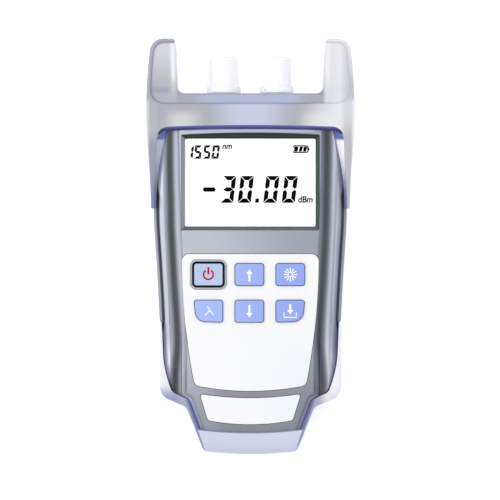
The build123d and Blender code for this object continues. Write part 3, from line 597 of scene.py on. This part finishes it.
def lettering(name, text, low_corner, size, lean):
    """A word in the plain built-in face, made a thin mesh and fitted to a box of the given size."""
    curve = bpy.data.curves.new(name, "FONT")
    curve.body = text
    curve.shear = lean
    curve.extrude = 0.5
    curve.offset = letter_weight
    curve.resolution_u = 4
    draft = bpy.data.objects.new(name + "_draft", curve)
    scene.collection.objects.link(draft)
    mesh = bpy.data.meshes.new_from_object(draft.evaluated_get(bpy.context.evaluated_depsgraph_get()))
    bpy.data.objects.remove(draft)
    place = np.zeros(len(mesh.vertices) * 3)
    mesh.vertices.foreach_get("co", place)
    place = place.reshape(-1, 3)
    low, span = place.min(0), np.ptp(place, axis=0)
    target = np.array([*size, mark_high - mark_low])
    place = (place - low) / span * target + np.array([*low_corner, mark_low])
    mesh.vertices.foreach_set("co", (place * MM).ravel())
    mesh.name = name
    mesh.materials.clear()
    mesh.materials.append(ink.material)
    word = bpy.data.objects.new(name, mesh)
    scene.collection.objects.link(word)
    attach(word, "case")


lettering("unit_nm", "nm", (-11.85, 40.85), (4.2, 1.85), 0.2)
lettering("unit_dBm", "dBm", (20.1, 18.31), (6.2, 2.8), 0.12)


# Keypad field and lower field: white polyester film with a satin print. Both are bonded into shallow
# recesses of the front shell, with a gap round them that painted shade darkens.
film = Finish("white_film", Roughness=0.3, Coat_Weight=0.25, Coat_Roughness=0.15)
tooth = film.noise(0.35, detail=2.0)
sheen = film.x.rise(-10.0, 26.0) * film.y.rise(-20.0, -60.0)
white = sheen.blend(rgb(255, 255, 255), rgb(246, 250, 254))
# Painted shade darkens the film's cut edges.
white = film.face_z.rise(0.9, 0.5).blend(white, rgb(70, 74, 84))
film.feed("Base Color", (tooth * 0.03).blend(white, rgb(225, 230, 238)))
film.feed("Roughness", 0.26 + tooth * 0.1)
film.grain(tooth, 0.12, 0.01)
dress(film, "keypad_overlay", "nameplate")


# Six keys: moulded caps in clear-coated periwinkle with a rim darkened by painted shade, the power
# key paler. The power key stands in a grey ring with a black inner band.
key_flange = 0.8
key_corner = 1.2
large_corner = 5.2
key_names = ("key_power", "key_up", "key_light", "key_wavelength", "key_down", "key_save")


def key_frame(name):
    """Centre and half sizes of a key's cap, in mm, from its node's box less the hidden flange."""
    low, high = (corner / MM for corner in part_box(name))
    half = (high - low) / 2
    return (low.x + high.x) / 2, (low.y + high.y) / 2, half.x - key_flange, half.y - key_flange


def key_outline(name, grow):
    """Rounded rectangle of a key's cap, grown outwards: four corner arcs joined by straight runs."""
    middle_x, middle_y, half_x, half_y = key_frame(name)
    quarter = np.linspace(0.0, math.pi / 2, 9)
    line = []
    for turn, (sign_x, sign_y) in enumerate(((1, 1), (-1, 1), (-1, -1), (1, -1))):
        large = (name == "key_wavelength" and turn == 2) or (name == "key_save" and turn == 3)
        radius = (large_corner if large else key_corner) + grow
        angle = quarter + turn * math.pi / 2
        centre = (middle_x + sign_x * (half_x + grow - radius), middle_y + sign_y * (half_y + grow - radius))
        line.append(np.column_stack([np.cos(angle), np.sin(angle)]) * radius + centre)
    return np.vstack(line)


def key_finish(name, light, deep):
    """Clear-coated key plastic: a light tone that deepens towards the right, and a rim darkened by painted
    shade.
    """
    cap = Finish(name, Roughness=0.3, Coat_Weight=0.35, Coat_Roughness=0.12)
    tone = (cap.x.rise(-20.0, 22.0) * 0.8 + cap.noise(7.0) * 0.2).blend(light, deep)
    mottle = cap.noise(0.4, detail=2.0)
    # Painted shade darkens the rim of each cap.
    tone = cap.face_z.rise(0.99, 0.8).blend(tone, rgb(44, 52, 100))
    cap.feed("Base Color", (mottle * 0.06).blend(tone, rgb(230, 235, 255)))
    cap.feed("Roughness", 0.28 + mottle * 0.1)
    cap.grain(mottle, 0.1, 0.01)
    return cap


key_blue = key_finish("key_blue", rgb(166, 189, 253), rgb(138, 162, 245))
power_pale = key_finish("power_cap", rgb(187, 203, 239), rgb(174, 192, 231))
dress(key_blue, *key_names[1:])
dress(power_pale, "key_power")

ring_grey = Finish("ring_grey", Roughness=0.35, Metallic=0.3)
ring_grey.feed("Base Color", ring_grey.noise(0.5).blend(rgb(178, 183, 192), rgb(163, 168, 179)))
ring_grey.grain(ring_grey.noise(0.4), 0.2, 0.02)
dress(ring_grey, "power_key_surround")

ring_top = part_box("power_key_surround")[1].z / MM
black = Finish("black_band", Roughness=0.6, Specular_IOR_Level=0.05)
black.feed("Base Color", black.noise(1.0).blend(rgb(3, 5, 10), rgb(10, 12, 18)))
black_outer, black_inner = (key_outline("key_power", grow) for grow in (0.78, 0.12))
black_band = band(black_outer, black_inner, ring_top - 0.02, ring_top + 0.04)
piece("power_key_band", [black_band], black, "case")


# Symbols on the keys: a power mark in red, and arrows, a lamp, a wavelength sign and a load-and-store
# sign in white, screen printed on the caps. Each rides on its own key.
symbol_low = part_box("key_up")[1].z / MM - 0.02
symbol_high = symbol_low + 0.06
# Painted light: the white print glows faintly in its own tone.
symbol_white = Finish("symbol_white", Roughness=0.35, Emission_Strength=0.15)
symbol_tone = symbol_white.noise(0.6).blend(rgb(250, 252, 255), rgb(236, 241, 252))
symbol_white.feed("Base Color", symbol_tone)
symbol_white.feed("Emission Color", symbol_tone)
symbol_red = Finish("symbol_red", Roughness=0.5, Specular_IOR_Level=0.2)
symbol_red.feed("Base Color", symbol_red.noise(0.6).blend(rgb(198, 14, 38), rgb(182, 8, 32)))


def symbol(key, shapes, finish=symbol_white):
    """Put plates that are centred on the origin onto a key's cap."""
    middle_x, middle_y = key_frame(key)[:2]
    placed = [(points + (middle_x, middle_y, 0.0), faces) for points, faces in shapes]
    piece(key + "_symbol", placed, finish, key + "_body")


arrow_stem, arrow_head, arrow_head_length = 0.42, 1.3, 1.9


def arrow(tail, tip):
    """Upright arrow between two heights, pointing at tip; its stem and head are given as half widths."""
    stem, head = arrow_stem, arrow_head
    way = 1.0 if tip > tail else -1.0
    neck = tip - way * arrow_head_length
    line = [(-stem, tail), (stem, tail), (stem, neck), (head, neck), (0.0, tip), (-head, neck), (-stem, neck)]
    return prism(counterclockwise(line), symbol_low, symbol_high)


def arc(radius, start_deg, end_deg, count=40):
    """Points on a circle about the origin between two angles."""
    angle = np.radians(np.linspace(start_deg, end_deg, count))
    return np.column_stack([np.cos(angle), np.sin(angle)]) * radius


power_ring = stroke(arc(2.02, 122.0, 418.0, 60), 0.7, symbol_low, symbol_high)
power_bar = stroke([(0.0, 0.15), (0.0, 3.1)], 0.86, symbol_low, symbol_high)
symbol("key_power", [power_ring, power_bar], symbol_red)
symbol("key_up", [arrow(-2.95, 2.2)])
symbol("key_down", [arrow(2.6, -2.6)])

ray_count = 12
ray_start, ray_end = 1.15, 2.8
lamp = [band(arc(1.05, 0.0, 350.0, 36), arc(0.66, 0.0, 350.0, 36), symbol_low, symbol_high)]
for ray in range(ray_count):
    angle = ray * 2 * math.pi / ray_count
    way = np.array([math.cos(angle), math.sin(angle)])
    across = np.array([-way[1], way[0]])
    inner, outer = 0.17 * across, 0.3 * across
    start, end = way * ray_start, way * ray_end
    corners = [start - inner, end - outer, end + outer, start + inner]
    lamp.append(prism(np.array(corners), symbol_low, symbol_high))
symbol("key_light", lamp)

lambda_line = 0.42
lambda_back = stroke([(-0.45, 2.0), (0.65, 0.3), (2.25, -1.8)], lambda_line, symbol_low, symbol_high)
lambda_leg = stroke([(0.4, 0.2), (-1.55, -1.8)], lambda_line, symbol_low, symbol_high)
symbol("key_wavelength", [lambda_back, lambda_leg])

store_tray = [stroke([(-2.6, -0.6), (-2.6, -2.6), (2.6, -2.6), (2.6, -0.6)], 0.5, symbol_low, symbol_high)]
symbol("key_save", store_tray + [arrow(2.9, -1.4)])


# Keypad mat: moulded silicone that lies on the main board under the keys, with a collar round each
# key's stem. The case hides it.
mat = Finish("mat_silicone", Roughness=0.55, Subsurface_Weight=0.1)
mat.feed("Base Color", mat.noise(4.0).blend(rgb(226, 228, 232), rgb(212, 215, 222)))
mat.grain(mat.noise(0.5), 0.3, 0.03)
dress(mat, "keypad_mat")


# Main board: green glass-epoxy with traces under the lacquer, screwed up against the front shell. Its
# chips are black resin; the screen, key domes, battery contacts and screws are plated steel.
board = Finish("board_green", Roughness=0.3, Coat_Weight=0.4)
trace = board.noise(2.2, detail=1.0, stretch=(1.0, 6.0, 1.0)).rise(0.52, 0.56)
board.feed("Base Color", trace.blend(rgb(22, 92, 58), rgb(34, 122, 76)))
board.grain(trace, 0.3, 0.03)
dress(board, "main_board")

resin = Finish("chip_black", Roughness=0.6)
speck = resin.noise(0.3)
resin.feed("Base Color", speck.blend(rgb(24, 24, 26), rgb(44, 44, 48)))
resin.grain(speck, 0.3, 0.02)
dress(resin, "board_chips")


def metal_finish(name, bright, dull, roughness, stretch=(1.0, 1.0, 1.0)):
    """Bare metal whose tone and roughness follow fine drawn or turned marks."""
    metal = Finish(name, Metallic=1.0, Roughness=roughness)
    marks = metal.noise(0.5, detail=3.0, stretch=stretch)
    metal.feed("Base Color", marks.blend(bright, dull))
    metal.feed("Roughness", roughness - 0.06 + marks * 0.14)
    metal.grain(marks, 0.2, 0.015)
    return metal


steel = metal_finish("contact_steel", rgb(214, 216, 218), rgb(184, 187, 190), 0.28, (1.0, 5.0, 1.0))
dress(steel, "battery_plates", "battery_springs", "shield_can", "key_switches")
screw_steel = metal_finish("screw_steel", rgb(196, 198, 202), rgb(158, 161, 166), 0.34)
dress(screw_steel, "case_screws", "board_screws")


# Optical ports: turned nickel-plated adapters with split zirconia sleeves and photodetector cans,
# closed by soft white caps with a finely ribbed grip.
nickel = metal_finish("port_nickel", rgb(206, 203, 196), rgb(176, 172, 164), 0.26, (1.0, 8.0, 1.0))
dress(nickel, "port_adapter_left", "port_adapter_right", "detector_left", "detector_right")
ceramic = Finish("sleeve_ceramic", Roughness=0.18, Subsurface_Weight=0.15, Coat_Weight=0.5)
ceramic.feed("Base Color", ceramic.noise(2.0).blend(rgb(244, 242, 236), rgb(234, 232, 226)))
dress(ceramic, "port_sleeve_left", "port_sleeve_right")

rib_count = 36.0
rib_end_y = 78.0

for label in ("left", "right"):
    low, high = (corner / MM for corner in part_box(f"dust_cap_{label}"))
    cap_x, cap_z = (low.x + high.x) / 2, (low.z + high.z) / 2
    cap = Finish(
        f"cap_white_{label}", Roughness=0.5, Subsurface_Weight=0.2, Subsurface_Scale=0.002,
        Emission_Strength=0.1,
    )
    # Painted light: each cap glows faintly, except on its end face.
    end = cap.face_y.rise(0.4, 0.9)
    cap.feed("Emission Color", end.blend(rgb(255, 255, 255), rgb(0, 0, 0)))
    angle = cap.x.math("ARCTAN2", cap.z - cap_z, cap.x - cap_x)
    turn = angle * rib_count
    ribs = turn.math("SINE", turn) * cap.y.rise(rib_end_y + 0.5, rib_end_y - 0.5)
    cap_tone = (cap.noise(3.0) * 0.4).blend(rgb(254, 254, 254), rgb(244, 245, 247))
    cap.feed("Base Color", end.blend(cap_tone, rgb(224, 226, 231)))
    cap.grain(ribs * 0.5 + cap.noise(0.5) * 0.2, 0.4, 0.12)
    dress(cap, f"dust_cap_{label}")


# Battery bay: three AA cells lie side by side in the rear shell, between springs and contact plates.
# Each has a dark sleeve with a bright band at its positive end, and the middle cell lies the other way round.
bright_length = 12.6

for name, way in (("battery_1", 1.0), ("battery_2", -1.0), ("battery_3", 1.0)):
    cell_low, cell_high = (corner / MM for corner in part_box(name))
    band_start = (cell_high.y - cell_low.y) / 2 - bright_length
    sleeve = Finish(f"cell_sleeve_{name}", Roughness=0.25, Coat_Weight=0.5)
    band_mask = ((sleeve.y - (cell_low.y + cell_high.y) / 2) * way).rise(band_start - 0.4, band_start)
    dark = sleeve.noise(3.0).blend(rgb(34, 38, 46), rgb(44, 49, 60))
    sleeve.feed("Base Color", band_mask.blend(dark, rgb(196, 150, 70)))
    sleeve.grain(sleeve.noise(1.5), 0.1, 0.02)
    dress(sleeve, name)
